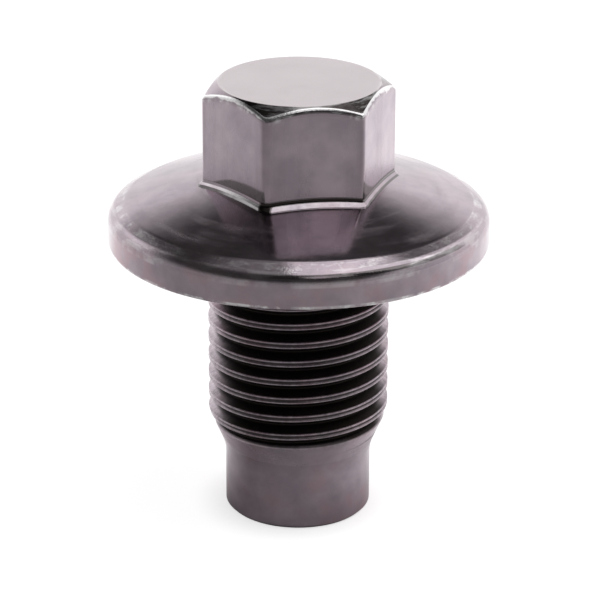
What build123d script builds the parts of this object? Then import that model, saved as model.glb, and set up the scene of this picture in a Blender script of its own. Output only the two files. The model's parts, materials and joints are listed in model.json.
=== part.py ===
from build123d import *
import os
from math import cos, radians, sin, sqrt, tan

# Oil drain plug: a flanged hexagon screw, forged and rolled from one piece of steel.
# Millimetres, +Z up along the axis. The origin is the centre of the flange's flat underside,
# which is the sealing face: the hexagon stands above it and the screw hangs below it.
# One flat of the hexagon faces -Y.

# Hexagon head, for a 13 mm spanner
hex_across_flats = 12.8
head_height = 12.6
top_face_inset = 0.4
top_chamfer_slope = 25.0
hex_edge_radius = 0.35

# Raised step that runs round the foot of the hexagon, over the dome
foot_step_out = 0.2
foot_step_height = 0.36

# Flange: flat underside, upright rim, bevelled shoulder and a shallow dome
flange_diameter = 28.9
rim_lower_edge_radius = 0.3
shoulder_height = 3.25
shoulder_radius = 1.2
shoulder_slope = 28.0
shoulder_inset = 1.4
dome_rise = 1.7
dome_radius = 75.0

# Screw thread M14 x 1.5, right-handed, a little under size as made
thread_diameter = 13.85
thread_pitch = 1.5
thread_flank_angle = 30.0
thread_length = 13.65

# Undercut between the sealing face and the thread, a little below the thread's root
undercut_length = 1.6
undercut_clearance = 0.055
undercut_fillet = 0.4
undercut_runout_slope = 45.0

# Lead-in taper and plain pilot point, which clears the crests of the tapped hole
taper_slope = 23.3
taper_blend_radius = 4.0
pilot_clearance = 0.405
pilot_edge_chamfer = 0.3
length_below_flange = 21.8

# How far the groove's sweep runs on below the place where the taper has passed its root
groove_overrun = 0.95

# Radii and heights that follow from the sizes above
flange_radius = flange_diameter / 2
shoulder_edge = (flange_radius - shoulder_inset, shoulder_height)
hex_corner_reach = hex_across_flats / 2 / cos(radians(30))
dome_foot = (hex_across_flats / 2 + foot_step_out, shoulder_height + dome_rise)
buried_radius = hex_across_flats / 4
buried_height = shoulder_height / 2
thread_radius = thread_diameter / 2
thread_depth = 0.6134 * thread_pitch
thread_crest_width = thread_pitch / 6
root_radius = thread_radius - thread_depth
undercut_radius = root_radius - undercut_clearance
pilot_radius = root_radius - pilot_clearance


def point_on_circle(centre, radius, angle):
    """Point of a circle in the (radius, height) plane, at an angle in degrees from outwards."""
    return (centre[0] + radius * cos(radians(angle)), centre[1] + radius * sin(radians(angle)))


def revolved(profile):
    """Solid of revolution from a closed outline in the (radius, height) plane."""
    return revolve(Plane.XZ * make_face(profile), Axis.Z)


def dome_centre():
    """Centre of the dome's arc, which runs from the shoulder's edge to the hexagon's foot."""
    middle = ((shoulder_edge[0] + dome_foot[0]) / 2, (shoulder_edge[1] + dome_foot[1]) / 2)
    run = (shoulder_edge[0] - dome_foot[0], shoulder_edge[1] - dome_foot[1])
    chord = sqrt(run[0] ** 2 + run[1] ** 2)
    drop = sqrt(dome_radius ** 2 - (chord / 2) ** 2)
    return (middle[0] + run[1] / chord * drop, middle[1] - run[0] / chord * drop)


def dome_point(radius, lift=0.0):
    """Point of the dome at a radius from the axis, raised by a lift."""
    centre = dome_centre()
    height = centre[1] + sqrt(dome_radius ** 2 - (radius - centre[0]) ** 2)
    return (radius, height + lift)


def dome_arc(inner_radius, outer_radius, lift=0.0):
    """Arc of the dome between two radii."""
    middle = (inner_radius + outer_radius) / 2
    points = [dome_point(radius, lift) for radius in (inner_radius, middle, outer_radius)]
    return ThreePointArc(*points)


def make_flange():
    """Flat-bottomed flange with an upright rim, a bevelled shoulder and a domed top."""
    normal = 90.0 - shoulder_slope
    bend_x = flange_radius - shoulder_radius + shoulder_radius * cos(radians(normal))
    bend = (bend_x, shoulder_edge[1] - (bend_x - shoulder_edge[0]) * tan(radians(shoulder_slope)))
    shoulder_centre = (flange_radius - shoulder_radius, bend[1] - shoulder_radius * sin(radians(normal)))
    rim_top = (flange_radius, shoulder_centre[1])
    shoulder_middle = point_on_circle(shoulder_centre, shoulder_radius, normal / 2)

    lower_centre = (flange_radius - rim_lower_edge_radius, rim_lower_edge_radius)
    rim_bottom = (flange_radius, rim_lower_edge_radius)
    lower_middle = point_on_circle(lower_centre, rim_lower_edge_radius, -45.0)
    underside_edge = (lower_centre[0], 0.0)

    inner = dome_point(buried_radius)
    outline = [
        Line((0.0, 0.0), underside_edge),
        ThreePointArc(underside_edge, lower_middle, rim_bottom),
        Line(rim_bottom, rim_top),
        ThreePointArc(rim_top, shoulder_middle, bend),
        Line(bend, shoulder_edge),
        dome_arc(buried_radius, shoulder_edge[0]),
        Line(inner, (0.0, inner[1])),
        Line((0.0, inner[1]), (0.0, 0.0)),
    ]
    return revolved(outline)


def hexagon_face(across_flats):
    """Hexagon with one flat towards -Y and its corners rounded."""
    sharp = RegularPolygon(across_flats / 2, 6, major_radius=False)
    return fillet(sharp.vertices(), hex_edge_radius)


def make_hexagon():
    """Hexagonal head with a shallow conical chamfer round its top face."""
    prism = extrude(Pos(0, 0, buried_height) * hexagon_face(hex_across_flats), head_height - buried_height)
    top_radius = hex_across_flats / 2 - top_face_inset
    cone_drop = (hex_corner_reach - top_radius) * tan(radians(top_chamfer_slope))
    outline = Polyline(
        (0.0, buried_height),
        (hex_corner_reach, buried_height),
        (hex_corner_reach, head_height - cone_drop),
        (top_radius, head_height),
        (0.0, head_height),
        close=True,
    )
    return prism & revolved(outline)


def make_foot_step():
    """Low hexagonal step that follows the dome round the foot of the head."""
    step_across_flats = hex_across_flats + 2 * foot_step_out
    prism = extrude(Pos(0, 0, buried_height) * hexagon_face(step_across_flats), head_height - buried_height)
    reach = hex_corner_reach + 2 * foot_step_out
    inner = dome_point(buried_radius, foot_step_height)
    outer = dome_point(reach, foot_step_height)
    outline = [
        Line((0.0, buried_height), (reach, buried_height)),
        Line((reach, buried_height), outer),
        dome_arc(buried_radius, reach, foot_step_height),
        Line(inner, (0.0, inner[1])),
        Line((0.0, inner[1]), (0.0, buried_height)),
    ]
    return prism & revolved(outline)


def make_shank():
    """Blank of the screw: undercut, thread cylinder, lead-in taper and pilot point."""
    fillet_radius = undercut_radius + undercut_fillet
    fillet_middle = point_on_circle((fillet_radius, -undercut_fillet), undercut_fillet, 135.0)
    undercut_end = (undercut_radius, -undercut_length)
    runout = (thread_radius - undercut_radius) / tan(radians(undercut_runout_slope))
    thread_top = (thread_radius, -undercut_length - runout)
    thread_bottom = (thread_radius, -thread_length)

    taper_length = (thread_radius - pilot_radius) / tan(radians(taper_slope))
    tangent = taper_blend_radius * tan(radians(taper_slope / 2))
    corner = (pilot_radius, -thread_length - taper_length)
    blend_top = (
        corner[0] + tangent * sin(radians(taper_slope)),
        corner[1] + tangent * cos(radians(taper_slope)),
    )
    blend_bottom = (pilot_radius, corner[1] - tangent)
    blend_centre = (pilot_radius + taper_blend_radius, blend_bottom[1])
    blend_middle = point_on_circle(blend_centre, taper_blend_radius, 180.0 - taper_slope / 2)
    chamfer_top = (pilot_radius, -length_below_flange + pilot_edge_chamfer)
    chamfer_bottom = (pilot_radius - pilot_edge_chamfer, -length_below_flange)

    outline = [
        Line((0.0, buried_height), (fillet_radius, buried_height)),
        Line((fillet_radius, buried_height), (fillet_radius, 0.0)),
        ThreePointArc((fillet_radius, 0.0), fillet_middle, (undercut_radius, -undercut_fillet)),
        Line((undercut_radius, -undercut_fillet), undercut_end),
        Line(undercut_end, thread_top),
        Line(thread_top, thread_bottom),
        Line(thread_bottom, blend_top),
        ThreePointArc(blend_top, blend_middle, blend_bottom),
        Line(blend_bottom, chamfer_top),
        Line(chamfer_top, chamfer_bottom),
        Line(chamfer_bottom, (0.0, -length_below_flange)),
        Line((0.0, -length_below_flange), (0.0, buried_height)),
    ]
    return revolved(outline)


def make_thread_groove():
    """Helical V groove, from clear air beside the lead-in taper up into the undercut."""
    opening = thread_pitch - thread_crest_width
    bottom = opening - 2 * thread_depth * tan(radians(thread_flank_angle))
    outside = 1.3 * thread_depth
    low_end = -thread_length - thread_depth / tan(radians(taper_slope)) - groove_overrun
    high_end = -undercut_length + bottom
    path = Helix(thread_pitch, high_end - low_end, root_radius)
    section = Plane(origin=path @ 0, x_dir=(1, 0, 0), z_dir=path % 0) * make_face(
        Polyline(
            (0.0, -bottom / 2),
            (thread_depth, -opening / 2),
            (outside, -opening / 2),
            (outside, opening / 2),
            (thread_depth, opening / 2),
            (0.0, bottom / 2),
            close=True,
        )
    )
    return Pos(0, 0, low_end) * sweep(section, path=path, is_frenet=True)


def make_drain_plug():
    """The whole plug as one solid."""
    screw = make_shank() - make_thread_groove()
    return make_flange() + make_foot_step() + make_hexagon() + screw


os.makedirs("parts", exist_ok=True)
export_step(make_drain_plug(), "parts/drain_plug.step")
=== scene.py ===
import json
import math
import bpy
import numpy as np
from mathutils import Matrix, Vector


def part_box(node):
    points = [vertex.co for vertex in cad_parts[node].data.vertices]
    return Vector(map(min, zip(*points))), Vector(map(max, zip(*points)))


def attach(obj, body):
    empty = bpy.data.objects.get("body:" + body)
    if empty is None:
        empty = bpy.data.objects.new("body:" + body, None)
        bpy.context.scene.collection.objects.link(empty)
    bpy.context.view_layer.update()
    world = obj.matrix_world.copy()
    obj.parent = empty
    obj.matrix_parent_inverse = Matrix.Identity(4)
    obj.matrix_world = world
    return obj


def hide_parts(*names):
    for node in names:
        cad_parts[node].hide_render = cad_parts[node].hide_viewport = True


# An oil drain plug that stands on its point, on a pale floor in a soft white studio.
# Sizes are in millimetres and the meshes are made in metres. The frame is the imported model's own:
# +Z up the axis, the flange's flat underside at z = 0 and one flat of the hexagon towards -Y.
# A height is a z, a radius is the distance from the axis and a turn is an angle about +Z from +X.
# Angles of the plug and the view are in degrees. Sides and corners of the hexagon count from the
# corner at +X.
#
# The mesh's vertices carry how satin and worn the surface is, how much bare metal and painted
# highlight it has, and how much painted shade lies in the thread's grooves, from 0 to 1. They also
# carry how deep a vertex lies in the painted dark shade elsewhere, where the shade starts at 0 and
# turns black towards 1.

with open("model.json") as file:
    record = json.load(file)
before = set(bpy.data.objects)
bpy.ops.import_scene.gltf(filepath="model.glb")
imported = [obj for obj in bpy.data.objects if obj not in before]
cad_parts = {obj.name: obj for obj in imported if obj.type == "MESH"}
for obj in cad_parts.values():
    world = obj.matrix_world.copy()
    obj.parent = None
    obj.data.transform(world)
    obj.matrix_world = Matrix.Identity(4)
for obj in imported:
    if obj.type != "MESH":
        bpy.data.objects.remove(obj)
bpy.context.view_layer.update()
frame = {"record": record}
MM = 0.001

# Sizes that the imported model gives
low_corner, high_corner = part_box("drain_plug")
mounts = {mount["name"]: mount for mount in frame["record"]["mounts"]}
FLANGE_RADIUS = high_corner.x / MM
HEAD_TOP = high_corner.z / MM
TIP = low_corner.z / MM
CREST_RADIUS = mounts["thread"]["dims"]["r_mm"]
PILOT_RADIUS = mounts["pilot"]["dims"]["r_mm"]

# Hexagon, with an edge radius for each corner, and the cone that cuts its upper corners
SIDES = 6
SIDE_TURN = 60.0
HEX_APOTHEM = 6.4
HEX_EDGE_RADII = (0.35, 0.5, 0.6, 0.4, 0.8, 0.28)
TOP_DISC_RADIUS = 6.08
TOP_DISC_EDGE_RADIUS = 0.06
TOP_CONE_SLOPE = 34.0
TOP_EDGE_REACH = 0.42
TOP_EDGE_DROP = 0.52

# Finish of the hexagon's top
# The disc is satin and the cone has painted dark shade at its corners, black at the fourth and
# fifth.
# The rolled edge has bare metal with a painted highlight on its upper part, and a painted dark line
# of shade on its lower part along each side.
TOP_SATIN = 0.6
TOP_DISC_EDGE_WEAR = 0.5
CONE_WEAR = 0.7
CONE_PAINTED_SHADES = (0.03, 0.4, 0.4, -0.3, 1.05, 1.0)
TOP_EDGE_WEAR = 1.0
TOP_HIGHLIGHT_SHARE = 0.55
TOP_HIGHLIGHT_FALL = 1.8
HALF_HIGHLIGHT = 0.5
EDGE_LINE_PAINTED_SHADES = (0.1, 0.1, 0.1, 0.0, 0.12, -0.5)
EDGE_LINE_END = 0.15

# Finish of the hexagon's walls
# They are satin from a little way off each corner. Painted dark shade, a painted reflection of the
# dark dome, climbs each wall above the lip, by the reach given at the wall's first and last corner.
# A painted dark line of shade runs along the wall's foot.
NO_PAINTED_SHADE = -1.0
SATIN_START = 2.0
SATIN_FADE = 2.5
PAINTED_SHADE_REACHES = ((0.1, 0.5), (0.4, 0.1), (0.1, 0.6), (-0.9, 1.02), (0.12, 0.12), (1.5, -0.4))
PAINTED_SHADE_FALL = 4.0
PAINTED_SHADE_LINE = 0.07
PAINTED_SHADE_LINE_MOST = 1.0

# Raised lip round the hexagon's foot
# It has a hollow, a bevel, a rounded edge, a leaning side and a seam onto the dome. The bevel and
# the leaning side have a length for each side of the hexagon. A turn of the bevel, the side or the
# seam's end says how far it faces up from outwards.
FOOT_HOLLOW_RADIUS = 0.3
FOOT_BEVEL_TURN = 48.0
FOOT_BEVEL_LENGTHS = (0.22, 0.22, 0.22, 0.15, 0.38, 0.15)
FOOT_EDGE_RADIUS = 0.07
FOOT_SIDE_TURN = 25.0
FOOT_SIDE_LENGTHS = (0.1, 0.1, 0.1, 0.18, 0.02, 0.13)
FOOT_SEAM_RADIUS = 0.05
FOOT_SEAM_END_TURN = 75.0
FOOT_CORNER_BLEND = 4.0

# Finish of the lip
# Painted dark shade lies in the hollow and on the leaning side, with a painted highlight of bare
# metal between them. The highlight is given at the first and last corner along each side of the
# hexagon, and fades downwards. One corner is painted black, a painted shade.
HOLLOW_PAINTED_SHADES = (0.9, 0.9, 0.9, 0.0, 1.2, 0.5)
HOLLOW_ROWS = 5
FOOT_SIDE_PAINTED_SHADES = (0.2, 0.2, 0.2, 0.4, -0.5, 0.4)
FOOT_SIDE_ROW = 14
FOOT_BEVEL_PAINTED_SHADE = -0.5
FOOT_HIGHLIGHT = ((0.4, 0.4), (0.4, 0.4), (0.4, 0.4), (0.45, 0.85), (0.47, 0.47), (0.25, 0.35))
FOOT_HIGHLIGHT_FADE = 0.3
FOOT_WEAR = 0.14
PAINTED_BLACK_CORNER = 4
PAINTED_BLACK_CORNER_TURN = 3.6
PAINTED_BLACK_CORNER_SHADE = 1.2

# Flange
DOME_FOOT = (6.6, 5.0)
DOME_RADIUS = 75.0
DOME_EDGE_RADIUS = 1.5
SHOULDER_EDGE = (13.05, 3.25)
SHOULDER_SLOPE = 28.0
SHOULDER_RADIUS = 1.2
RIM_LOWER_EDGE_RADIUS = 0.3

# Finish of the flange
# The shoulder and the rim's lower edge are worn, and carry a painted highlight of bare metal.
# Painted dark shade on the roll below the shoulder is even near one turn, and fades out on either
# side of it.
SHOULDER_WEAR = 0.42
SHOULDER_HIGHLIGHT = 0.3
ROLL_WEAR = 0.6
ROLL_STEPS = 12
ROLL_PAINTED_SHADE = 0.1
ROLL_PAINTED_SHADE_ROWS = (3, 4, 5, 6)
ROLL_PAINTED_SHADE_TURN = 284.0
ROLL_PAINTED_SHADE_REACH = 30.0
ROLL_PAINTED_SHADE_FADE = 30.0
RIM_EDGE_WEAR = 1.0
RIM_HIGHLIGHT = 0.35

# Screw: a thread with a narrow seam along its crest, an undercut above it and a pilot below it
THREAD_PITCH = 1.5
THREAD_DEPTH = 0.53 * THREAD_PITCH
FLANK_ANGLE = 30.0
CREST_WIDTH = 0.44
CREST_CORNER_RADIUS = 0.05
CREST_SEAM_DEPTH = 0.1
CREST_SEAM_WIDTH = 0.34
ROOT_CORNER_RADIUS = 0.12
ROOT_RADIUS = CREST_RADIUS - THREAD_DEPTH
CREST_HEIGHT_AT_START = -15.986
UNDERCUT_CLEARANCE = 0.055
UNDERCUT_RADIUS = ROOT_RADIUS - UNDERCUT_CLEARANCE
UNDERCUT_FILLET = 0.4
UNDERCUT_END = -1.6
UNDERCUT_RUNOUT_SLOPE = 45.0
THREAD_END = -13.65
THREAD_BLEND = 0.04
TAPER_SLOPE = 23.3
TAPER_BLEND_RADIUS = 4.0
TIP_CHAMFER = 0.3
TIP_EDGE_RADIUS = 0.12

# Ends of the thread's mesh
# The mesh runs on for some pitches below and above, and is cut off at two level rings. A vertex
# that comes nearer to a ring than the snap joins it.
THREAD_TOP_RING = -1.25
THREAD_BOTTOM_RING = -16.3
SNAP = 0.02
PITCHES_BELOW = 3
PITCHES_ABOVE = 2

# Painted dark shade in the thread, by depth under the crest, on the flanks that face up and those
# that face down
UPPER_SHADE_START = 0.03
UPPER_SHADE_DEPTH = THREAD_DEPTH - 0.1
LOWER_SHADE_START = 0.02
LOWER_SHADE_DEPTH = 0.05
SEAM_SHADE = 0.055
FULL_SHADE_CUT = 0.1

# Sides of the thread without the painted shade
# Painted shade covers the whole grooves, but on the two sides that the camera sees edge-on only the
# roots, which leaves the flanks there light as a painted highlight. Each side has a middle turn, is
# free of the shade up to the first distance from it in degrees, and shaded from the second.
SHADED_FROM = 0.06
DEEP_SHADE = 0.6
LEFT_SIDE_TURN = 170.0
LEFT_UNSHADED = (14.0, 46.0)
RIGHT_SIDE_TURN = 350.0
RIGHT_UNSHADED = (4.0, 28.0)

# Finish of the thread, worn only where its blank is nearly as wide as the full crest
THREAD_SATIN = 0.8
THREAD_WEAR = 0.4
WEAR_DEPTH = 0.6
WEAR_FADE = 0.3

# Where the mesh's columns and rows are: turns from a corner, radii, and shares of a stretch
CORNER_STEPS = [0.0, 0.7, 1.38, 2.0, 3.0, 4.5, 6.5, 9.0, 12.0, 15.0, 18.0, 21.0, 24.0, 27.0, 30.0]
TOP_RING_RADII = (0.8, 2.2, 3.6, 4.8, 5.6, 5.85)
TIP_RING_RADII = (4.9, 3.6, 2.2, 0.8)
TOP_EDGE_ROWS = 13
HOLLOW_POINTS = 7
TAPER_ROWS = 5
SUPPORTS = (0.04, 0.5, 0.96)
WALL_SHARES = (0.03, 0.18, 0.4, 0.62, 0.8, 0.97)
DOME_SHARES = (0.02, 0.06, 0.12, 0.19, 0.27, 0.35, 0.44, 0.53, 0.62, 0.71, 0.8, 0.89, 0.96)
RIM_SHARES = (0.06, 0.35, 0.65, 0.94)
UNDERSIDE_SHARES = (0.03, 0.3, 0.6, 0.97)
SEAM_SHARES = (0.0, 0.25, 0.5, 0.75, 1.0)
FLANK_SHARES = (0.1, 0.5, 0.9)
PILOT_SHARES = (0.04, 0.3, 0.55, 0.8, 0.97)

# View of the plug, with its turn from -Y: where the camera stands, and what it looks at
VIEW_TURN = -10.273
VIEW_ELEVATION = 22.135
VIEW_ROLL = -0.268
VIEW_DISTANCE = 229.348
VIEW_TARGET_HEIGHT = -4.992
VIEW_TARGET_SIDE = 0.1167
LENS = 179.634
SENSOR = 36.0
CLIP_START = 10.0


def towards_camera():
    """Level unit vectors from the plug towards the camera and to the camera's right."""
    turn = math.radians(VIEW_TURN)
    level = Vector((math.sin(turn), -math.cos(turn), 0.0))
    right = Vector((math.cos(turn), math.sin(turn), 0.0))
    return level, right


def add_camera():
    """Camera that looks down on the plug a little, from the left of the flat towards -Y."""
    level, right = towards_camera()
    elevation = math.radians(VIEW_ELEVATION)
    roll = math.radians(VIEW_ROLL)
    up = Vector((0.0, 0.0, math.cos(elevation))) - level * math.sin(elevation)
    back = level * math.cos(elevation) + Vector((0.0, 0.0, math.sin(elevation)))
    rolled_right = right * math.cos(roll) - up * math.sin(roll)
    rolled_up = right * math.sin(roll) + up * math.cos(roll)
    target = right * VIEW_TARGET_SIDE + Vector((0.0, 0.0, VIEW_TARGET_HEIGHT))
    place = (target + back * VIEW_DISTANCE) * MM

    data = bpy.data.cameras.new("camera")
    data.lens = LENS
    data.sensor_width = SENSOR
    data.clip_start = CLIP_START * MM
    camera = bpy.data.objects.new("camera", data)
    axes = Matrix((rolled_right, rolled_up, back)).transposed()
    camera.matrix_world = Matrix.Translation(place) @ axes.to_4x4()
    bpy.context.scene.collection.objects.link(camera)
    bpy.context.scene.camera = camera


def column_turns():
    """Turns of the mesh's columns, once round from the corner at +X."""
    side = CORNER_STEPS + [SIDE_TURN - step for step in reversed(CORNER_STEPS[1:-1])]
    return np.array([SIDE_TURN * corner + step for corner in range(SIDES) for step in side])


# Where each column is, with its distance from the nearest corner in radians
TURNS = column_turns()
COLUMNS = len(TURNS)
SIDE = (TURNS // SIDE_TURN).astype(int)
FROM_FIRST_CORNER = TURNS % SIDE_TURN
NEAREST_CORNER = ((TURNS + SIDE_TURN / 2) // SIDE_TURN).astype(int) % SIDES
FROM_CORNER = np.radians(np.abs((TURNS + SIDE_TURN / 2) % SIDE_TURN - SIDE_TURN / 2))


def for_sides(values):
    """The value at each column, out of one for each side."""
    return np.array(values)[SIDE]


def for_corners(values):
    """The value at each column, out of one for each corner."""
    return np.array(values)[NEAREST_CORNER]


def blended(lengths):
    """The length at each column, out of one for each side, blended at the corners."""
    lengths = np.array(lengths)
    to_last_corner = SIDE_TURN - FROM_FIRST_CORNER
    before = np.clip(0.5 - FROM_FIRST_CORNER / FOOT_CORNER_BLEND / 2, 0.0, 0.5)
    after = np.clip(0.5 - to_last_corner / FOOT_CORNER_BLEND / 2, 0.0, 0.5)
    neighbours = lengths[SIDE - 1] * before + lengths[(SIDE + 1) % SIDES] * after
    return lengths[SIDE] * (1.0 - before - after) + neighbours


def turns_from(middle):
    """How far each column is from a turn, the shorter way round."""
    return np.abs((TURNS - middle + 180.0) % 360.0 - 180.0)


def hexagon_reach(outwards=0.0):
    """Radius of the round-cornered hexagon at each column, grown outwards by a distance."""
    half_side = math.radians(SIDE_TURN / 2)
    apothem = HEX_APOTHEM + outwards
    edge = for_corners(HEX_EDGE_RADII) + outwards
    centre = (apothem - edge) / math.cos(half_side)
    tangent = np.arctan2(edge * math.sin(half_side), centre + edge * math.cos(half_side))
    flat = apothem / np.cos(half_side - FROM_CORNER)
    inside = np.maximum(edge ** 2 - (centre * np.sin(FROM_CORNER)) ** 2, 0.0)
    rounded = centre * np.cos(FROM_CORNER) + np.sqrt(inside)
    return np.where(FROM_CORNER < tangent, rounded, flat)


def dome_height(radius):
    """Height of the dome at a radius: an arc from the hexagon's foot to the shoulder's edge."""
    run = (SHOULDER_EDGE[0] - DOME_FOOT[0], SHOULDER_EDGE[1] - DOME_FOOT[1])
    chord = math.hypot(*run)
    drop = math.sqrt(DOME_RADIUS ** 2 - (chord / 2) ** 2)
    centre_radius = (SHOULDER_EDGE[0] + DOME_FOOT[0]) / 2 + run[1] / chord * drop
    centre_height = (SHOULDER_EDGE[1] + DOME_FOOT[1]) / 2 - run[0] / chord * drop
    return centre_height + np.sqrt(DOME_RADIUS ** 2 - (radius - centre_radius) ** 2)


def arc_points(centre, radius, first, last, steps):
    """Points of an arc in the (radius, height) plane between two angles from outwards."""
    angles = np.radians(np.linspace(first, last, steps + 1))
    return [(centre[0] + radius * math.cos(a), centre[1] + radius * math.sin(a)) for a in angles]


def rounded_corner(before, corner, after, radius, steps):
    """Points of the arc that rounds the corner between two straight lines."""
    before, corner, after = (np.array(point, float) for point in (before, corner, after))
    back = (before - corner) / np.linalg.norm(before - corner)
    on = (after - corner) / np.linalg.norm(after - corner)
    half = math.acos(np.clip(back @ on, -1.0, 1.0)) / 2
    middle = (back + on) / np.linalg.norm(back + on)
    centre = corner + middle * radius / math.sin(half)
    start = corner + back * radius / math.tan(half)
    end = corner + on * radius / math.tan(half)
    first = start - centre
    last = end - centre
    swing = math.atan2(first[0] * last[1] - first[1] * last[0], first @ last)
    points = []
    for share in np.linspace(0.0, 1.0, steps + 1):
        turn = swing * share
        x = first[0] * math.cos(turn) - first[1] * math.sin(turn)
        y = first[0] * math.sin(turn) + first[1] * math.cos(turn)
        points.append((centre[0] + x, centre[1] + y))
    return points


def between(first, last, shares):
    """Points on the straight line between two points, at the given shares of its length."""
    return [tuple(a + (b - a) * share for a, b in zip(first, last)) for share in shares]


def ring(radius, height, satin=0.0, worn=0.0, stain=NO_PAINTED_SHADE, bare=0.0):
    """A row of the mesh: radius and height, how satin and worn it is, and its painted shade and its
    bare metal with painted highlight.
    """
    row = (radius, height, satin, worn, stain, bare)
    return tuple(np.broadcast_to(value, COLUMNS).astype(float) for value in row)


def top_rows():
    """Rows from the middle of the top face, down the cone and round the hexagon's rolled edge."""
    slope = math.radians(TOP_CONE_SLOPE)
    disc_edge = (TOP_DISC_RADIUS, HEAD_TOP)
    on_cone = (TOP_DISC_RADIUS + 1.0, HEAD_TOP - math.tan(slope))
    edge = rounded_corner((0.0, HEAD_TOP), disc_edge, on_cone, TOP_DISC_EDGE_RADIUS, steps=3)
    rows = [ring(radius, HEAD_TOP, satin=TOP_SATIN) for radius in TOP_RING_RADII]
    rows += [ring(*point, worn=TOP_DISC_EDGE_WEAR) for point in edge]

    reach = hexagon_reach()
    across, down = TOP_EDGE_REACH, TOP_EDGE_DROP
    start = math.atan(down / across / math.tan(slope))
    contact = reach - across + across * math.cos(start)
    # Painted dark shade at the cone's corners, black at the fourth and fifth
    cone_painted_shade = for_corners(CONE_PAINTED_SHADES)
    for share in SUPPORTS:
        radius = edge[-1][0] + (contact - edge[-1][0]) * share
        height = HEAD_TOP - (radius - TOP_DISC_RADIUS) * math.tan(slope)
        rows.append(ring(radius, height, worn=CONE_WEAR, stain=cone_painted_shade))

    contact_height = HEAD_TOP - (contact - TOP_DISC_RADIUS) * math.tan(slope)
    centre_height = contact_height - down * math.sin(start)
    line_painted_shade = for_sides(EDGE_LINE_PAINTED_SHADES)
    for angle in np.linspace(start, 0.0, TOP_EDGE_ROWS):
        radius = reach - across + across * math.cos(angle)
        height = centre_height + down * math.sin(angle)
        # Bare metal with a painted highlight on the edge's upper part, and a painted dark line of
        # shade below it
        bare = HALF_HIGHLIGHT + (angle / start - (1.0 - TOP_HIGHLIGHT_SHARE)) * TOP_HIGHLIGHT_FALL
        on_line = EDGE_LINE_END < angle / start < 1.0 - TOP_HIGHLIGHT_SHARE
        stain = line_painted_shade if on_line else NO_PAINTED_SHADE
        rows.append(ring(radius, height, worn=TOP_EDGE_WEAR, stain=stain, bare=max(bare, 0.0)))
    return rows


def foot_profile():
    """Outwards distance from the hexagon's wall and height above the dome, down the lip."""
    turn = math.radians(FOOT_BEVEL_TURN)
    lean = math.radians(FOOT_SIDE_TURN)
    hollow = FOOT_HOLLOW_RADIUS
    points = []
    for angle in np.linspace(0.0, turn, HOLLOW_POINTS):
        points.append((hollow - hollow * math.cos(angle), -hollow * math.sin(angle)))

    bevel = blended(FOOT_BEVEL_LENGTHS)
    bevel_start = points[-1]
    bevel_end = (bevel_start[0] + math.sin(turn) * bevel, bevel_start[1] - math.cos(turn) * bevel)
    points += between(bevel_start, bevel_end, SUPPORTS)
    edge_centre = (
        bevel_end[0] - FOOT_EDGE_RADIUS * math.cos(turn),
        bevel_end[1] - FOOT_EDGE_RADIUS * math.sin(turn),
    )
    edge_turns = (FOOT_BEVEL_TURN, FOOT_SIDE_TURN)
    points += arc_points(edge_centre, FOOT_EDGE_RADIUS, *edge_turns, steps=4)

    side = blended(FOOT_SIDE_LENGTHS)
    along = FOOT_SEAM_RADIUS * math.cos(lean) + side * math.sin(lean)
    up = FOOT_SEAM_RADIUS * math.sin(lean) - side * math.cos(lean)
    seam_centre = (points[-1][0] + along, points[-1][1] + up)
    seam_turns = (180.0 + FOOT_SIDE_TURN, 180.0 + FOOT_SEAM_END_TURN)
    points += arc_points(seam_centre, FOOT_SEAM_RADIUS, *seam_turns, steps=4)
    base = points[-1][1]
    return [(out, height - base) for out, height in points]


def painted_shade_reach():
    """How far the painted dark shade climbs the hexagon's walls above the lip, at each column."""
    first, last = for_sides(PAINTED_SHADE_REACHES).T
    return last + (first - last) * np.exp(-PAINTED_SHADE_FALL * (FROM_FIRST_CORNER / SIDE_TURN))


def wall_rows(top_row, foot_row):
    """Rows down the hexagon's walls, between the last row above and the first row below."""
    rows = []
    # Painted dark shade, a painted reflection of the dark dome, climbs each wall above the lip
    reach = painted_shade_reach()
    satin = np.clip((np.degrees(FROM_CORNER) - SATIN_START) / SATIN_FADE, 0.0, 1.0)
    for share in WALL_SHARES:
        height = top_row[1] + (foot_row[1] - top_row[1]) * share
        radius = top_row[0] + (foot_row[0] - top_row[0]) * share
        rows.append(ring(radius, height, satin, stain=reach - (height - foot_row[1])))
    # Painted dark line of shade along the wall's foot
    line = np.minimum(for_sides(HOLLOW_PAINTED_SHADES), PAINTED_SHADE_LINE_MOST)
    stain = np.maximum(line, reach)
    rows.append(ring(foot_row[0], foot_row[1] + PAINTED_SHADE_LINE, satin, stain=stain))
    return rows


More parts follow.
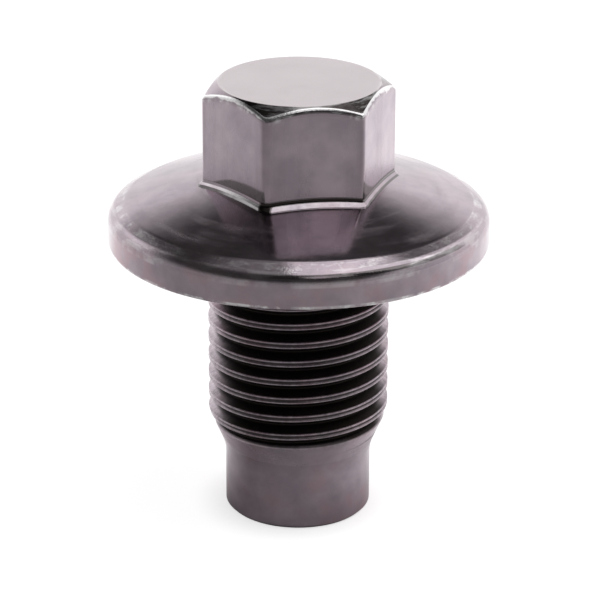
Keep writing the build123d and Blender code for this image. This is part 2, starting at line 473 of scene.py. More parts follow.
def foot_rows():
    """Rows of the lip round the hexagon's foot, the last one lying on the dome."""
    profile = foot_profile()
    base = dome_height(hexagon_reach(profile[-1][0]))
    # Painted highlight of bare metal on the lip, painted shade in its hollow and on its side, and
    # one corner painted black
    first, last = for_sides(FOOT_HIGHLIGHT).T
    full_highlight = first + (last - first) * FROM_FIRST_CORNER / SIDE_TURN
    near_corner = np.degrees(FROM_CORNER) < PAINTED_BLACK_CORNER_TURN
    painted_black = (NEAREST_CORNER == PAINTED_BLACK_CORNER) & near_corner
    rows = []
    for number, (out, height) in enumerate(profile):
        dull = painted_black | (number < HOLLOW_ROWS)
        stain = FOOT_BEVEL_PAINTED_SHADE
        if number < HOLLOW_ROWS:
            stain = for_sides(HOLLOW_PAINTED_SHADES)
        elif number >= FOOT_SIDE_ROW:
            stain = for_sides(FOOT_SIDE_PAINTED_SHADES)
        finish = {
            "worn": np.where(dull, 0.0, FOOT_WEAR),
            "stain": np.where(painted_black, PAINTED_BLACK_CORNER_SHADE, stain),
            "bare": np.where(dull, 0.0, full_highlight - FOOT_HIGHLIGHT_FADE * number / len(profile)),
        }
        rows.append(ring(hexagon_reach(out), base + height, **finish))
    return rows


def roll_rows(centre, first_angle):
    """Rows round the roll from the shoulder down to the rim, with its painted dark shade."""
    # Painted dark shade on the roll, even near one turn and fading out on either side
    faded = (turns_from(ROLL_PAINTED_SHADE_TURN) - ROLL_PAINTED_SHADE_REACH) / ROLL_PAINTED_SHADE_FADE
    roll_shade = ROLL_PAINTED_SHADE - np.clip(faded, 0.0, 1.0)
    rows = []
    points = arc_points(centre, SHOULDER_RADIUS, first_angle, 0.0, steps=ROLL_STEPS)
    for number, point in enumerate(points):
        stain = roll_shade if number in ROLL_PAINTED_SHADE_ROWS else NO_PAINTED_SHADE
        rows.append(ring(*point, worn=ROLL_WEAR, stain=stain))
    return rows


def flange_rows(foot_row):
    """Rows over the dome, the shoulder, the rim and the underside, down to the undercut."""
    slope = math.radians(SHOULDER_SLOPE)
    normal = 90.0 - SHOULDER_SLOPE
    roll_radius = FLANGE_RADIUS - SHOULDER_RADIUS
    bend_radius = roll_radius + SHOULDER_RADIUS * math.cos(math.radians(normal))
    bend = (bend_radius, SHOULDER_EDGE[1] - (bend_radius - SHOULDER_EDGE[0]) * math.tan(slope))
    centre = (roll_radius, bend[1] - SHOULDER_RADIUS * math.sin(math.radians(normal)))
    inner_radius = SHOULDER_EDGE[0] - 1.0
    inner = (inner_radius, float(dome_height(inner_radius)))
    edge = rounded_corner(inner, SHOULDER_EDGE, bend, DOME_EDGE_RADIUS, steps=4)

    rows = []
    for share in DOME_SHARES:
        radius = foot_row[0] + (edge[0][0] - foot_row[0]) * share
        rows.append(ring(radius, dome_height(radius)))
    rows += [ring(*point) for point in edge]
    bevel = between(edge[-1], bend, SUPPORTS)
    # Painted highlight of bare metal on the shoulder
    rows += [ring(*point, worn=SHOULDER_WEAR, bare=SHOULDER_HIGHLIGHT) for point in bevel]
    rows += roll_rows(centre, normal)

    rim_top = (FLANGE_RADIUS, centre[1])
    rim_end = (FLANGE_RADIUS, RIM_LOWER_EDGE_RADIUS)
    rows += [ring(*point) for point in between(rim_top, rim_end, RIM_SHARES)]
    lower_centre = (FLANGE_RADIUS - RIM_LOWER_EDGE_RADIUS, RIM_LOWER_EDGE_RADIUS)
    lower_edge = arc_points(lower_centre, RIM_LOWER_EDGE_RADIUS, 0.0, -90.0, steps=6)
    # Painted highlight of bare metal on the rim's lower edge
    rows += [ring(*point, worn=RIM_EDGE_WEAR, bare=RIM_HIGHLIGHT) for point in lower_edge]

    neck = UNDERCUT_RADIUS + UNDERCUT_FILLET
    underside = between((lower_centre[0], 0.0), (neck, 0.0), UNDERSIDE_SHARES)
    fillet = arc_points((neck, -UNDERCUT_FILLET), UNDERCUT_FILLET, 90.0, 180.0, steps=6)
    rows += [ring(*point) for point in underside + fillet]
    return rows


def upper_shade(radius):
    """Painted shade on the surfaces that face upwards: none near the crest, full in the root."""
    depth = CREST_RADIUS - UPPER_SHADE_START - radius
    return float(np.clip(depth / UPPER_SHADE_DEPTH, 0.0, 1.0))


def lower_shade(radius):
    """Painted shade on the surfaces that face downwards: full from just under the crest."""
    depth = CREST_RADIUS - LOWER_SHADE_START - radius
    return float(np.clip(depth / LOWER_SHADE_DEPTH, 0.0, 1.0))


def thread_profile():
    """One pitch of the thread, up from a crest's middle: shares of the pitch, radii and painted
    shade.
    """
    half_crest = CREST_WIDTH / 2
    flank = THREAD_DEPTH * math.tan(math.radians(FLANK_ANGLE))
    seam_edge = (CREST_SEAM_WIDTH / 2, CREST_RADIUS)
    crest_corner = (half_crest, CREST_RADIUS)
    root_corner = (half_crest + flank, ROOT_RADIUS)
    root_middle = (THREAD_PITCH / 2, ROOT_RADIUS)
    seam = []
    for share in SEAM_SHARES:
        depth = (1.0 + math.cos(math.pi * share)) / 2
        sunk = CREST_RADIUS - CREST_SEAM_DEPTH * depth
        seam.append((seam_edge[0] * share, sunk, SEAM_SHADE * depth))
    corner = rounded_corner(seam_edge, crest_corner, root_corner, CREST_CORNER_RADIUS, steps=4)
    root = rounded_corner(crest_corner, root_corner, root_middle, ROOT_CORNER_RADIUS, steps=2)
    points = corner + between(corner[-1], root[0], FLANK_SHARES) + root + [root_middle]
    above = seam + [(across, radius, upper_shade(radius)) for across, radius in points]
    under = seam[1:] + [(across, radius, lower_shade(radius)) for across, radius in points[:-1]]
    below = [(THREAD_PITCH - across, radius, soot) for across, radius, soot in reversed(under)]
    return [(across / THREAD_PITCH, radius, soot) for across, radius, soot in above + below]


def taper_blend():
    """Heights where the lead-in taper's blend into the pilot starts and ends."""
    slope = math.radians(TAPER_SLOPE)
    corner = THREAD_END - (CREST_RADIUS - PILOT_RADIUS) / math.tan(slope)
    tangent = TAPER_BLEND_RADIUS * math.tan(slope / 2)
    return corner + tangent * math.cos(slope), corner - tangent


def envelope(height):
    """Radius of the blank that the thread is cut into, left open outwards over the full thread."""
    runout_slope = math.tan(math.radians(UNDERCUT_RUNOUT_SLOPE))
    runout = UNDERCUT_RADIUS + (UNDERCUT_END - height) * runout_slope
    upper = np.maximum(runout, UNDERCUT_RADIUS)
    start, end = taper_blend()
    taper = CREST_RADIUS + (height - THREAD_END) * math.tan(math.radians(TAPER_SLOPE))
    inside = np.maximum(TAPER_BLEND_RADIUS ** 2 - (height - end) ** 2, 0.0)
    blend = PILOT_RADIUS + TAPER_BLEND_RADIUS - np.sqrt(inside)
    lower = np.where(height > start, taper, np.where(height > end, blend, PILOT_RADIUS))
    return np.minimum(upper, lower)


def smooth_minimum(first, second, width):
    """The smaller of two values, with the change from one to the other rounded over a width."""
    share = np.clip(0.5 + 0.5 * (second - first) / width, 0.0, 1.0)
    return second + (first - second) * share - width * share * (1.0 - share)


def pilot_rows():
    """Rows from the end of the thread down the blend and the pilot to the tip's flat face."""
    end = taper_blend()[1]
    rows = []
    for height in np.linspace(THREAD_BOTTOM_RING, end, TAPER_ROWS + 1)[1:]:
        rows.append(ring(float(envelope(height)), height))
    pilot_top = (PILOT_RADIUS, end)
    chamfer_top = (PILOT_RADIUS, TIP + TIP_CHAMFER)
    chamfer_end = (PILOT_RADIUS - TIP_CHAMFER, TIP)
    upper = rounded_corner(pilot_top, chamfer_top, chamfer_end, TIP_EDGE_RADIUS, steps=3)
    lower = rounded_corner(chamfer_top, chamfer_end, (0.0, TIP), TIP_EDGE_RADIUS, steps=3)
    pilot = between(pilot_top, upper[0], PILOT_SHARES)
    rows += [ring(*point) for point in pilot + upper + lower]
    rows += [ring(radius, TIP) for radius in TIP_RING_RADII]
    return rows


def on_turns(radius, height):
    """Places of a row's vertices in metres."""
    angles = np.radians(TURNS)
    return np.stack([radius * np.cos(angles), radius * np.sin(angles), height], axis=1) * MM


def strip(upper, lower):
    """Faces between two rows of vertex numbers."""
    upper_next = np.roll(upper, -1)
    lower_next = np.roll(lower, -1)
    return np.stack([lower, lower_next, upper_next, upper], axis=1)


def unshaded_share(middle, full, none):
    """Share free of painted shade at each column: free about a turn, shaded from a distance on."""
    share = np.clip((none - turns_from(middle)) / (none - full), 0.0, 1.0)
    return share * share * (3.0 - 2.0 * share)


def thread_shade(soot, cut_depth):
    """Painted shade over the thread, from its profile's shade and how deep it is cut into the
    blank.
    """
    # The flanks on the two sides seen edge-on stay light: a painted highlight
    left = unshaded_share(LEFT_SIDE_TURN, *LEFT_UNSHADED)
    right = unshaded_share(RIGHT_SIDE_TURN, *RIGHT_UNSHADED)
    unshaded = np.maximum(left, right)
    shaded = np.clip(soot / SHADED_FROM, 0.0, 1.0)[:, None]
    deep = np.clip((soot - DEEP_SHADE) / (1.0 - DEEP_SHADE), 0.0, 1.0)[:, None]
    return (shaded * (1.0 - unshaded) + deep * unshaded) * np.clip(cut_depth / FULL_SHADE_CUT, 0.0, 1.0)


def thread_block(top, bottom, first_number):
    """Vertices, faces and finish of the thread, in rows that climb with it between two rings."""
    profile = thread_profile()
    per_pitch = len(profile)
    turns_down = int((CREST_HEIGHT_AT_START - THREAD_BOTTOM_RING) / THREAD_PITCH) + PITCHES_BELOW
    start = CREST_HEIGHT_AT_START - turns_down * THREAD_PITCH
    pitches = int((THREAD_TOP_RING - start) / THREAD_PITCH) + PITCHES_ABOVE
    shares = np.array([pitch + share for pitch in range(pitches) for share, _, _ in profile])
    radii = np.array([radius for _, radius, _ in profile] * pitches)
    soot = np.array([soot for _, _, soot in profile] * pitches)
    heights = start + THREAD_PITCH * (shares[:, None] + TURNS[None, :] / 360.0)
    blank = envelope(heights)
    grid = smooth_minimum(radii[:, None], blank, THREAD_BLEND)

    above = heights > THREAD_TOP_RING - SNAP
    below = heights < THREAD_BOTTOM_RING + SNAP
    own = ~(above | below)
    numbers = np.full(heights.shape, -1)
    numbers[own] = first_number + np.arange(own.sum())
    numbers = np.where(above, top[None, :], np.where(below, bottom[None, :], numbers))
    angles = np.broadcast_to(np.radians(TURNS)[None, :], heights.shape)
    places = np.stack([grid * np.cos(angles), grid * np.sin(angles), heights], axis=2)[own] * MM
    worn = THREAD_WEAR * np.clip((blank - CREST_RADIUS + WEAR_DEPTH) / WEAR_FADE, 0.0, 1.0)
    finish = {"soot": thread_shade(soot, blank - grid)[own], "worn": worn[own]}

    spare = np.repeat(top[None, :1], per_pitch, axis=0)
    wrapped = np.concatenate([numbers[per_pitch:, :1], spare])
    numbers = np.concatenate([numbers, wrapped], axis=1)
    quads = [numbers[:-1, :-1], numbers[:-1, 1:], numbers[1:, 1:], numbers[1:, :-1]]
    return places, np.stack(quads, axis=2).reshape(-1, 4), finish


def without_repeats(face):
    """A face's corners with repeated neighbours left out, or None if no area is left."""
    corners = [corner for place, corner in enumerate(face) if corner != face[place - 1]]
    return corners if len(corners) > 2 else None


def plug_mesh():
    """The plug's whole surface as one closed mesh."""
    rows = top_rows()
    foot = foot_rows()
    rows += wall_rows(rows[-1], foot[0])
    rows += foot
    rows += flange_rows(foot[-1])
    rows.append(ring(UNDERCUT_RADIUS, THREAD_TOP_RING))
    top_ring = len(rows) - 1
    rows.append(ring(float(envelope(THREAD_BOTTOM_RING)), THREAD_BOTTOM_RING))
    rows += pilot_rows()

    places = [on_turns(row[0], row[1]) for row in rows]
    numbers = [np.arange(COLUMNS) + COLUMNS * row for row in range(len(rows))]
    strips = [strip(upper, lower) for upper, lower in zip(numbers, numbers[1:])]
    del strips[top_ring]
    count = COLUMNS * len(rows)
    thread_places, thread_faces, finish = thread_block(*numbers[top_ring:top_ring + 2], count)

    finishes = {"soot": np.concatenate([np.zeros(count), finish["soot"], [0.0, 0.0]])}
    # A row's finishes follow its radius and height, in the order that they have here
    on_thread = {"satin": THREAD_SATIN, "worn": finish["worn"], "stain": NO_PAINTED_SHADE, "bare": 0.0}
    for number, (name, value) in enumerate(on_thread.items(), start=2):
        at_thread = np.broadcast_to(value, len(thread_places))
        at_middles = [rows[0][number][0], rows[-1][number][0]]
        finishes[name] = np.concatenate([row[number] for row in rows] + [at_thread, at_middles])
    middles = np.array([[0.0, 0.0, HEAD_TOP], [0.0, 0.0, TIP]]) * MM
    places += [thread_places, middles]
    count += len(thread_places)

    quads = np.concatenate(strips + [thread_faces]).tolist()
    faces = [face for face in map(without_repeats, quads) if face]
    for column in range(COLUMNS):
        after = (column + 1) % COLUMNS
        faces.append([int(numbers[0][column]), int(numbers[0][after]), count])
        faces.append([int(numbers[-1][after]), int(numbers[-1][column]), count + 1])
    mesh = bpy.data.meshes.new("plated_plug")
    mesh.from_pydata(np.concatenate(places).tolist(), [], faces)
    mesh.polygons.foreach_set("use_smooth", [True] * len(mesh.polygons))
    for name, values in finishes.items():
        mesh.attributes.new(name, "FLOAT", "POINT").data.foreach_set("value", values)
    mesh.update()
    return mesh


def add_node(tree, kind, **settings):
    """A node with its settings, and with its inputs set or linked by name or number."""
    node = tree.nodes.new(kind)
    inputs = settings.pop("inputs", {})
    for name, value in settings.items():
        setattr(node, name, value)
    for name, value in inputs.items():
        if isinstance(value, bpy.types.NodeSocket):
            tree.links.new(value, node.inputs[name])
        else:
            node.inputs[name].default_value = value
    return node


def calculate(tree, operation, first, second=0.0):
    """Result of a calculation with one or two values."""
    node = add_node(tree, "ShaderNodeMath", operation=operation, inputs={0: first, 1: second})
    return node.outputs[0]


def add(tree, first, second):
    """Sum of two values."""
    return calculate(tree, "ADD", first, second)


def subtract(tree, first, second):
    """The first value less the second."""
    return calculate(tree, "SUBTRACT", first, second)


def multiply(tree, first, second):
    """Product of two values."""
    return calculate(tree, "MULTIPLY", first, second)


def map_range(tree, value, from_low, from_high, to_low, to_high, smooth=False):
    """A value taken from one range to another, which it stays within."""
    kind = "SMOOTHSTEP" if smooth else "LINEAR"
    inputs = {0: value, 1: from_low, 2: from_high, 3: to_low, 4: to_high}
    node = add_node(tree, "ShaderNodeMapRange", interpolation_type=kind, inputs=inputs)
    return node.outputs[0]


def vector_math(tree, operation, inputs):
    """Node for a calculation with vectors."""
    return add_node(tree, "ShaderNodeVectorMath", operation=operation, inputs=inputs)


def attribute(tree, name):
    """A value that the mesh carries at its vertices."""
    return add_node(tree, "ShaderNodeAttribute", attribute_name=name).outputs["Fac"]


def noise(tree, place, scale, detail):
    """Noise with about this many features to the metre."""
    inputs = {"Vector": place, "Scale": scale, "Detail": detail, "Roughness": NOISE_ROUGHNESS}
    return add_node(tree, "ShaderNodeTexNoise", inputs=inputs).outputs["Fac"]


def mix_colours(tree, share, first, second):
    """Colour between two colours."""
    inputs = {0: share, 6: first, 7: second}
    return add_node(tree, "ShaderNodeMix", data_type="RGBA", inputs=inputs).outputs[2]


# Colours of the surface
DARK_PLATING = (0.38, 0.325, 0.365, 1.0)
LIGHT_PLATING = (0.53, 0.45, 0.495, 1.0)
RED_PLATING = (0.5, 0.345, 0.375, 1.0)
TOP_PLATING = (0.585, 0.525, 0.54, 1.0)
# Painted dark shade; bare metal, also used for painted highlights; black for deep painted shade and
# soot
PAINTED_SHADE_COLOUR = (0.13, 0.12, 0.115, 1.0)
BARE_METAL_AND_HIGHLIGHT = (0.93, 0.91, 0.92, 1.0)
SHADE_AND_SOOT_BLACK = (0.034, 0.028, 0.026, 1.0)

# Scale and detail of each noise
# Streaks and rubbed marks run round the axis on level surfaces, and straight down on upright ones.
SHADING = (130.0, 3.0)
STREAKS = (160.0, 5.0)
WAVES = (240.0, 2.0)
REDDENING = (340.0, 4.0)
MOTTLING = (420.0, 5.0)
RUBBING = (420.0, 5.0)
PATCHES = (900.0, 4.0)
SPECKLES = (2400.0, 3.0)
GRAIN = (2600.0, 4.0)
DENTS = (5200.0, 3.0)
STREAK_STRETCH = 6.0
NOISE_ROUGHNESS = 0.6

# Ranges over which an effect goes from none to full, and how strong it is when full
NOISE_RANGE = (0.3, 0.7)
SHADE_RANGE = (0.8, 1.2)
STREAK_RANGE = (0.5, 0.68)
RED_RANGE = (0.46, 0.62)
RED_SHARE = 0.65
RED_LOSS_ON_SATIN = 0.7
RED_HEIGHTS = (1.7, 2.5)
RED_SHARE_ABOVE = 0.25
SATIN_LIGHTENING = 0.15
TOP_PLATING_DEPTHS = (0.04, 0.01)
PAINTED_SHADE_RAGGEDNESS = 0.08
PAINTED_SHADE_RANGE = (-0.06, 0.12)
PAINTED_SHADE_SHARE = 0.8
DEEP_PAINTED_SHADE_RANGE = (0.8, 1.0)
DEEP_PAINTED_SHADE_SHARE = 0.95
RUBBED_RANGE = (0.5, 0.62)
RUBBED_SHARE = 0.5
PATCHINESS = 0.56
HIGHLIGHT_AND_BARE_RANGE = (0.3, 0.7)
SPECKLE_RANGE = (0.35, 0.7)
SPECKLE_HEIGHTS = (-0.5, -1.0)
ROUGHNESS_RANGE = (0.1, 0.15)
SATIN_ROUGHNESS = 0.12
GROOVE_SHADE_ROUGHNESS = 0.3
SMEAR_ROUGHNESS = 0.14
WAVE_RELIEF = 6.0
DENT_RELIEF = 6.0
RELIEF_DEPTH = 0.0015


def plating_colour(tree, place, height, satin, mottling):
    """Mottled grey-violet: redder low down and where it is polished, lighter where it is satin."""
    shade = add(tree, mottling, noise(tree, place, *SHADING))
    lightness = map_range(tree, shade, *SHADE_RANGE, 0.0, 1.0)
    colour = mix_colours(tree, lightness, DARK_PLATING, LIGHT_PLATING)
    reddened = map_range(tree, noise(tree, place, *REDDENING), *RED_RANGE, 0.0, RED_SHARE)
    polished = subtract(tree, 1.0, multiply(tree, satin, RED_LOSS_ON_SATIN))
    low, high = (level * MM for level in RED_HEIGHTS)
    below = map_range(tree, height, low, high, 1.0, RED_SHARE_ABOVE)
    reddened = multiply(tree, multiply(tree, reddened, polished), below)
    colour = mix_colours(tree, reddened, colour, RED_PLATING)
    lighter = add(tree, multiply(tree, satin, SATIN_LIGHTENING), 1.0)
    return vector_math(tree, "SCALE", {0: colour, "Scale": lighter}).outputs[0]


def with_painted_shade(tree, colour, mottling):
    """Painted dark shade over a colour, with a ragged edge, and black where it is deep."""
    edge = map_range(tree, mottling, *NOISE_RANGE, -PAINTED_SHADE_RAGGEDNESS, PAINTED_SHADE_RAGGEDNESS)
    ragged = add(tree, attribute(tree, "stain"), edge)
    stain = map_range(tree, ragged, *PAINTED_SHADE_RANGE, 0.0, PAINTED_SHADE_SHARE)
    colour = mix_colours(tree, stain, colour, PAINTED_SHADE_COLOUR)
    deep = map_range(tree, ragged, *DEEP_PAINTED_SHADE_RANGE, 0.0, DEEP_PAINTED_SHADE_SHARE)
    return mix_colours(tree, deep, colour, SHADE_AND_SOOT_BLACK)


def with_bare_metal_and_highlight(tree, colour, place, streak_place, worn):
    """Bare metal and painted highlights over a colour, in patches and rubbed marks where it is
    worn.
    """
    rubbed = map_range(tree, noise(tree, streak_place, *RUBBING), *RUBBED_RANGE, 0.0, RUBBED_SHARE)
    patchy = map_range(tree, noise(tree, place, *PATCHES), *NOISE_RANGE, -PATCHINESS, PATCHINESS)
    patchy = multiply(tree, patchy, worn)
    bare = map_range(tree, add(tree, attribute(tree, "bare"), patchy), *HIGHLIGHT_AND_BARE_RANGE, 0.0, 1.0)
    bare = add(tree, bare, multiply(tree, rubbed, worn))
    return mix_colours(tree, bare, colour, BARE_METAL_AND_HIGHLIGHT)


def with_groove_shade(tree, colour, place, height, soot, worn):
    """Painted groove shade over a colour, with sooty speckles on the screw where it is worn."""
    start, end = (level * MM for level in SPECKLE_HEIGHTS)
    on_screw = map_range(tree, height, start, end, 0.0, 1.0)
    speckle = map_range(tree, noise(tree, place, *SPECKLES), *SPECKLE_RANGE, 0.0, 1.0)
    speckle = multiply(tree, multiply(tree, speckle, worn), on_screw)
    dusted = add(tree, soot, multiply(tree, speckle, subtract(tree, 1.0, soot)))
    return mix_colours(tree, dusted, colour, SHADE_AND_SOOT_BLACK)


def surface_normal(tree, place, worn):
    """Normal of a slightly wavy and grainy surface, dented where it is worn."""
    relief = multiply(tree, noise(tree, place, *WAVES), WAVE_RELIEF)
    relief = add(tree, relief, noise(tree, place, *GRAIN))
    dents = multiply(tree, noise(tree, place, *DENTS), DENT_RELIEF)
    relief = add(tree, relief, multiply(tree, dents, worn))
    inputs = {"Height": relief, "Strength": 1.0, "Distance": RELIEF_DEPTH * MM}
    return add_node(tree, "ShaderNodeBump", inputs=inputs).outputs["Normal"]


def plated_steel():
    """Plated steel with painted shade, bare metal and painted highlights, and painted shade in the
    thread.
    """
    material = bpy.data.materials.new("plated_steel")
    material.use_nodes = True
    tree = material.node_tree
    shader = tree.nodes["Principled BSDF"]
    place = add_node(tree, "ShaderNodeTexCoord").outputs["Object"]
    across, deep, height = add_node(tree, "ShaderNodeSeparateXYZ", inputs={0: place}).outputs
    satin = attribute(tree, "satin")
    worn = attribute(tree, "worn")
    soot = attribute(tree, "soot")
    mottling = noise(tree, place, *MOTTLING)

    level = add_node(tree, "ShaderNodeCombineXYZ", inputs={0: across, 1: deep}).outputs[0]
    radius = vector_math(tree, "LENGTH", {0: level}).outputs["Value"]
    stretched = {0: across, 1: deep, 2: multiply(tree, radius, STREAK_STRETCH)}
    streak_place = add_node(tree, "ShaderNodeCombineXYZ", inputs=stretched).outputs[0]
    streaks = map_range(tree, noise(tree, streak_place, *STREAKS), *STREAK_RANGE, 0.0, 1.0)
    top_start, top_end = ((HEAD_TOP - depth) * MM for depth in TOP_PLATING_DEPTHS)
    top = map_range(tree, height, top_start, top_end, 0.0, 1.0)

    colour = plating_colour(tree, place, height, satin, mottling)
    colour = mix_colours(tree, top, colour, TOP_PLATING)
    # Painted dark shade, bare metal with painted highlights, and painted shade in the thread's
    # grooves
    colour = with_painted_shade(tree, colour, mottling)
    colour = with_bare_metal_and_highlight(tree, colour, place, streak_place, worn)
    colour = with_groove_shade(tree, colour, place, height, soot, worn)
    tree.links.new(colour, shader.inputs["Base Color"])

    shader.inputs["Metallic"].default_value = 1.0
    roughness = map_range(tree, mottling, *NOISE_RANGE, *ROUGHNESS_RANGE)
    smeared = multiply(tree, streaks, subtract(tree, 1.0, top))
    rougher = ((satin, SATIN_ROUGHNESS), (soot, GROOVE_SHADE_ROUGHNESS), (smeared, SMEAR_ROUGHNESS))
    for share, extra in rougher:
        roughness = add(tree, roughness, multiply(tree, share, extra))
    tree.links.new(roughness, shader.inputs["Roughness"])
    tree.links.new(surface_normal(tree, place, worn), shader.inputs["Normal"])
    return material


def make_plug():
    """The plug's visible surface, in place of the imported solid."""
    plug = bpy.data.objects.new("plated_plug", plug_mesh())
    bpy.context.scene.collection.objects.link(plug)
    plug.data.materials.append(plated_steel())
    modifier = plug.modifiers.new("flats", "WEIGHTED_NORMAL")
    modifier.mode = "FACE_AREA"
    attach(plug, "root")
    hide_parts("drain_plug")


# Studio
# A brightness of 1 is white, a turn goes from the camera's side to the right, and angles are in
# radians. A large lamp hangs over the plug and to its right, and is brighter in its core than in
# the strip along its left edge. A smaller lamp stands in front.
LAMP_HEIGHT = 600.0
LAMP_EDGE_BRIGHTNESS = 0.98
LAMP_CORE_BRIGHTNESS = 0.5
LAMP_LEFT = -25.0
LAMP_CORE_LEFT = 75.0
LAMP_RIGHT = 680.0
LAMP_FRONT = 272.0
LAMP_BACK = -250.0
FILL_BRIGHTNESS = 0.75
FILL_SIZE = (200.0, 135.0)
FILL_DISTANCE = 500.0
FILL_TURN = math.radians(22.0)
FILL_ELEVATION = math.radians(51.0)

# Room that the plug mirrors
# It gets brighter from its front round to its back. It is dark above the top of a tilted backdrop
# with a wall on either side, but for a patch of ceiling.
FRONT_BRIGHTNESS = 0.33
BACK_RISE = 0.75
RIGHT_RISE_TURNS = (math.radians(20.0), math.radians(141.0))
LEFT_RISE_TURNS = (math.radians(-60.0), math.radians(-142.0))
RISE_POWER = 1.5
DARK_BRIGHTNESS = 0.05
CEILING_BRIGHTNESS = 0.2
CEILING_SINES = (0.85, 0.95)
AMBIENT = 0.18
BACKDROP_TOP = math.radians(21.3)
BACKDROP_TILT = math.radians(8.5)
EDGE_SOFTNESS = math.radians(12.5)
LEFT_WALL_FRONT = (math.radians(-85.0), math.radians(-125.0))
RIGHT_WALL_FRONT = (math.radians(38.0), math.radians(80.0))
WALL_BACK_TURNS = (math.radians(128.0), math.radians(150.0))
RIGHT_WALL_RISE = math.radians(26.0)
LEFT_WALL_RISE = math.radians(14.0)
LEFT_WALL_GLOW = 0.45
LEFT_GLOW_ELEVATIONS = (math.radians(15.0), math.radians(32.0))
WHITE = (1.0, 1.0, 1.0, 1.0)

# Floor
# For the camera it adds light to its own colour, less near the plug than further off, which paints
# a soft shadow round the point. In what the plug mirrors of it, it glows more towards the back, a
# painted pool of light, and fades out near the plug, a painted shadow.
FLOOR_COLOUR = (0.8, 0.79, 0.795, 1.0)
FLOOR_RADIUS = 450.0
FLOOR_EDGES = 96
FLOOR_TOP_UP = (0.68, 0.85)
FLOOR_PAINTED_SHADOW = (5.0, 8.6)
FLOOR_MIRRORED_SHADOW_REACH = 15.0
FLOOR_BACK_RISE = 0.85
FLOOR_FRONT_RISE = 0.05


def add_lamp(name, brightness, size, place, turn, tip_forward):
    """Soft lamp that the camera doesn't see, facing straight down before it is tipped forward."""
    data = bpy.data.lights.new(name, "AREA")
    data.shape = "RECTANGLE"
    data.size, data.size_y = (length * MM for length in size)
    data.energy = brightness * math.pi * size[0] * size[1] * MM ** 2
    lamp = bpy.data.objects.new(name, data)
    lamp.location = place * MM
    lamp.rotation_euler = (tip_forward, 0.0, turn)
    lamp.visible_camera = False
    bpy.context.scene.collection.objects.link(lamp)


def add_overhead_lamp(name, left_edge, brightness):
    """Large soft lamp over the plug, from its left edge a long way to the right."""
    level, right = towards_camera()
    size = (LAMP_RIGHT - left_edge, LAMP_FRONT - LAMP_BACK)
    place = level * (LAMP_FRONT + LAMP_BACK) / 2 + right * (left_edge + LAMP_RIGHT) / 2
    place += Vector((0.0, 0.0, LAMP_HEIGHT))
    add_lamp(name, brightness, size, place, math.radians(VIEW_TURN), 0.0)


def add_fill_lamp():
    """Smaller soft lamp in front, above the camera and to its right."""
    level, right = towards_camera()
    away = level * math.cos(FILL_TURN) + right * math.sin(FILL_TURN)
    direction = away * math.cos(FILL_ELEVATION) + Vector((0.0, 0.0, math.sin(FILL_ELEVATION)))
    place = direction * FILL_DISTANCE
    turn = math.radians(VIEW_TURN) + FILL_TURN
    add_lamp("fill", FILL_BRIGHTNESS, FILL_SIZE, place, turn, math.pi / 2 - FILL_ELEVATION)


def ray_kinds(tree):
    """Whether a ray comes from the camera, and whether it comes from metal or glass."""
    rays = add_node(tree, "ShaderNodeLightPath").outputs
    mirrored = calculate(tree, "MAXIMUM", rays["Is Glossy Ray"], rays["Is Transmission Ray"])
    return rays["Is Camera Ray"], mirrored


def studio_turn(tree, direction):
    """Turn of a direction, from the camera's side to the right."""
    level, right = towards_camera()
    to_right = vector_math(tree, "DOT_PRODUCT", {0: direction, 1: right}).outputs["Value"]
    to_front = vector_math(tree, "DOT_PRODUCT", {0: direction, 1: level}).outputs["Value"]
    return calculate(tree, "ARCTAN2", to_right, to_front)


def level_rise(tree, turn, most):
    """Brightness that the studio gains from its front round to its back."""
    on_right = map_range(tree, turn, *RIGHT_RISE_TURNS, 0.0, 1.0)
    on_left = map_range(tree, turn, *LEFT_RISE_TURNS, 0.0, 1.0)
    share = calculate(tree, "POWER", add(tree, on_right, on_left), RISE_POWER)
    return multiply(tree, share, most)


def mirrored_room(tree, direction):
    """Brightness of the room in each direction, as the plug mirrors it."""
    turn = studio_turn(tree, direction)
    height = add_node(tree, "ShaderNodeSeparateXYZ", inputs={0: direction}).outputs["Z"]
    elevation = calculate(tree, "ARCSINE", height)
    left_end = map_range(tree, turn, *LEFT_WALL_FRONT, 0.0, 1.0, smooth=True)
    right_end = map_range(tree, turn, *RIGHT_WALL_FRONT, 0.0, 1.0, smooth=True)
    aside = calculate(tree, "ABSOLUTE", turn)
    back_end = map_range(tree, aside, *WALL_BACK_TURNS, 1.0, 0.0, smooth=True)

    front = add(tree, level_rise(tree, turn, BACK_RISE), FRONT_BRIGHTNESS)
    upper = map_range(tree, elevation, *LEFT_GLOW_ELEVATIONS, 0.0, LEFT_WALL_GLOW)
    glow = multiply(tree, multiply(tree, left_end, back_end), upper)
    lit = add(tree, front, glow)

    left_rise = multiply(tree, left_end, LEFT_WALL_RISE)
    wall_rise = add(tree, left_rise, multiply(tree, right_end, RIGHT_WALL_RISE))
    tilt = multiply(tree, calculate(tree, "COSINE", turn), -BACKDROP_TILT)
    edge = add(tree, multiply(tree, wall_rise, back_end), BACKDROP_TOP)
    edge = add(tree, edge, tilt)
    start = subtract(tree, edge, EDGE_SOFTNESS)
    end = add(tree, edge, EDGE_SOFTNESS)
    upwards = map_range(tree, elevation, start, end, 0.0, 1.0, smooth=True)
    darker = multiply(tree, subtract(tree, DARK_BRIGHTNESS, lit), upwards)
    ceiling = map_range(tree, height, *CEILING_SINES, 0.0, CEILING_BRIGHTNESS, smooth=True)
    return add(tree, add(tree, lit, darker), ceiling)


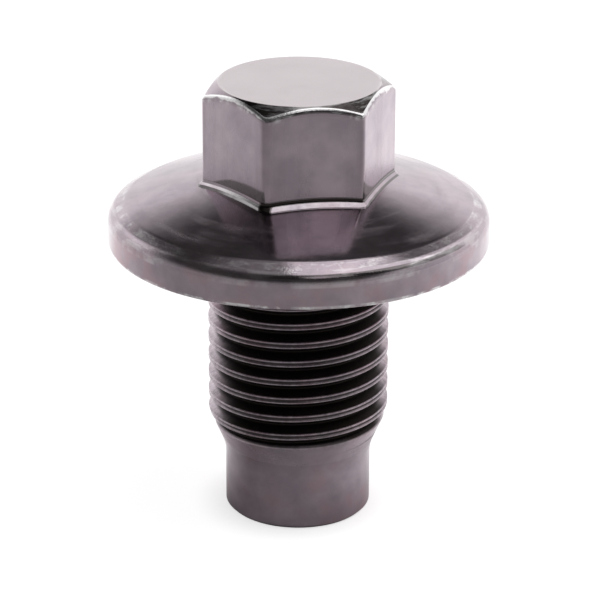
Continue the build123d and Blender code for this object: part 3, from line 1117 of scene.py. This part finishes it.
def add_world():
    """White studio: white to the camera, even light on matt surfaces, and the mirrored room."""
    world = bpy.data.worlds.new("studio")
    world.use_nodes = True
    bpy.context.scene.world = world
    tree = world.node_tree
    direction = add_node(tree, "ShaderNodeTexCoord").outputs["Generated"]
    seen = mirrored_room(tree, direction)
    camera, mirrored = ray_kinds(tree)
    reflected = multiply(tree, mirrored, subtract(tree, seen, AMBIENT))
    white = multiply(tree, camera, 1.0 - AMBIENT)
    strength = add(tree, add(tree, reflected, white), AMBIENT)
    background = tree.nodes["Background"]
    background.inputs["Color"].default_value = WHITE
    tree.links.new(strength, background.inputs["Strength"])


def floor_material():
    """Pale matt floor that shows white to the camera and keeps the plug's shadow, with a painted
    shadow round its point.
    """
    material = bpy.data.materials.new("floor")
    material.use_nodes = True
    tree = material.node_tree
    tree.nodes.remove(tree.nodes["Principled BSDF"])
    place = add_node(tree, "ShaderNodeTexCoord").outputs["Object"]
    distance = vector_math(tree, "LENGTH", {0: place}).outputs["Value"]
    # What the plug mirrors of the floor fades out near the plug: a painted shadow
    away = map_range(tree, distance, 0.0, FLOOR_MIRRORED_SHADOW_REACH * MM, 0.0, 1.0)
    # Less light is added near the plug's point than further off: a painted contact shadow
    contact = (start * MM for start in FLOOR_PAINTED_SHADOW)
    top_up = map_range(tree, distance, *contact, *FLOOR_TOP_UP, smooth=True)
    # The mirrored floor glows more towards the back: painted light
    glow = level_rise(tree, studio_turn(tree, place), FLOOR_BACK_RISE)
    glow = add(tree, glow, FLOOR_FRONT_RISE)
    camera, mirrored = ray_kinds(tree)
    reflected = multiply(tree, multiply(tree, glow, away), mirrored)
    seen = add(tree, reflected, multiply(tree, camera, top_up))
    matt = add_node(tree, "ShaderNodeBsdfDiffuse", inputs={"Color": FLOOR_COLOUR}).outputs[0]
    glowing = {"Color": WHITE, "Strength": seen}
    light = add_node(tree, "ShaderNodeEmission", inputs=glowing).outputs[0]
    both = add_node(tree, "ShaderNodeAddShader", inputs={0: matt, 1: light}).outputs[0]
    tree.links.new(both, tree.nodes["Material Output"].inputs["Surface"])
    return material


def add_floor():
    """Round floor under the plug's point."""
    radius = FLOOR_RADIUS * MM
    turns = np.linspace(0.0, 2 * math.pi, FLOOR_EDGES, endpoint=False)
    corners = [(radius * math.cos(turn), radius * math.sin(turn), 0.0) for turn in turns]
    mesh = bpy.data.meshes.new("floor")
    mesh.from_pydata(corners, [], [list(range(len(corners)))])
    mesh.materials.append(floor_material())
    floor = bpy.data.objects.new("floor", mesh)
    floor.location = (0.0, 0.0, TIP * MM)
    bpy.context.scene.collection.objects.link(floor)


bpy.context.scene.view_settings.view_transform = "Standard"
add_camera()
make_plug()
add_overhead_lamp("overhead", LAMP_LEFT, LAMP_EDGE_BRIGHTNESS)
add_overhead_lamp("overhead_core", LAMP_CORE_LEFT, LAMP_CORE_BRIGHTNESS)
add_fill_lamp()
add_world()
add_floor()
